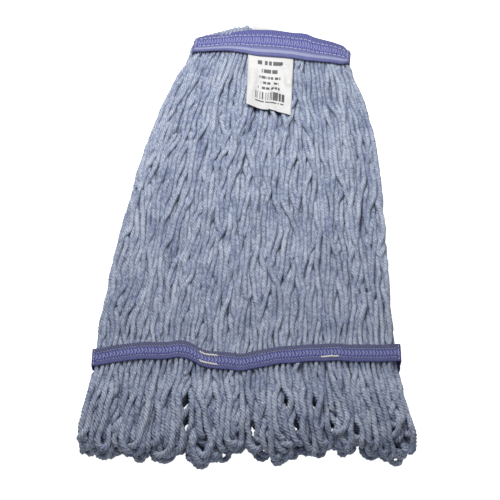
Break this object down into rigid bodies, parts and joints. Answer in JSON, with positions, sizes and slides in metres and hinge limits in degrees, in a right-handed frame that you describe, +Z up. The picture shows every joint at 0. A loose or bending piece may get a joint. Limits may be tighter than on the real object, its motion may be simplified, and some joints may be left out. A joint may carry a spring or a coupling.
{
  "type": "wet mop head",
  "caption": "Looped-end wet mop head of pale blue blended yarn, folded in half at a woven headband, with a tailband on each half and a sewn-in label.",
  "frame": {"origin": "centre of the bounding box's bottom face, on the surface that the folded head lies on", "axes": "+Z up from that surface, +Y from the looped ends towards the folded head, +X across, to the right when the label is read from the looped ends"},
  "size_m": [0.2846, 0.44, 0.0394],
  "materials": {
    "yarn": "matte",
    "band_tape": "matte",
    "thread": "satin",
    "bartack_thread": "satin",
    "label": "satin"
  },
  "bodies": {
    "headband": {"headband_bobbin_stitches": "thread", "headband_end_stitches": "thread", "headband_face_tape": "band_tape", "headband_hem": "band_tape", "headband_inner_tape": "band_tape", "headband_lower_stitches": "thread", "headband_upper_stitches": "thread", "headband_yarn": "yarn", "label_tail": "label", "yarn_fold": "yarn"},
    "front_skirt": {"front_skirt_yarn": "yarn", "front_tailband_bartacks": "bartack_thread", "front_tailband_bobbin_stitches": "thread", "front_tailband_end_stitches": "thread", "front_tailband_face_tape": "band_tape", "front_tailband_inner_tape": "band_tape", "front_tailband_lower_stitches": "thread", "front_tailband_upper_stitches": "thread", "front_tailband_yarn": "yarn"},
    "rear_skirt": {"rear_skirt_yarn": "yarn", "rear_tailband_bobbin_stitches": "thread", "rear_tailband_end_stitches": "thread", "rear_tailband_face_tape": "band_tape", "rear_tailband_inner_tape": "band_tape", "rear_tailband_lower_stitches": "thread", "rear_tailband_upper_stitches": "thread", "rear_tailband_yarn": "yarn"},
    "front_fringe": {"front_fringe_yarn": "yarn"},
    "rear_fringe": {"rear_fringe_yarn": "yarn"},
    "label": {"label_flap": "label"}
  },
  "joints": [
    {"name": "rear_skirt_fold", "type": "hinge", "parent": "headband", "child": "rear_skirt", "pos_m": [0.02495, 0.19208, 0.019], "axis": [0.9925, -0.1219, 0], "range_deg": [0, 180], "deforming": ["yarn_fold"]},
    {"name": "front_skirt_lift", "type": "hinge", "parent": "headband", "child": "front_skirt", "pos_m": [0.02101, 0.16002, 0.0376], "axis": [-0.9925, 0.1219, 0], "range_deg": [0, 80]},
    {"name": "front_fringe_lift", "type": "hinge", "parent": "front_skirt", "child": "front_fringe", "pos_m": [0, -0.136, 0.0229], "axis": [-1, 0, 0], "range_deg": [0, 60]},
    {"name": "rear_fringe_drop", "type": "hinge", "parent": "rear_skirt", "child": "rear_fringe", "pos_m": [0, -0.136, 0], "axis": [1, 0, 0], "range_deg": [0, 60]},
    {"name": "label_flip", "type": "hinge", "parent": "front_skirt", "child": "label", "pos_m": [0.02111, 0.15668, 0.0384], "axis": [-0.9925, 0.1219, 0], "range_deg": [0, 80]}
  ]
}
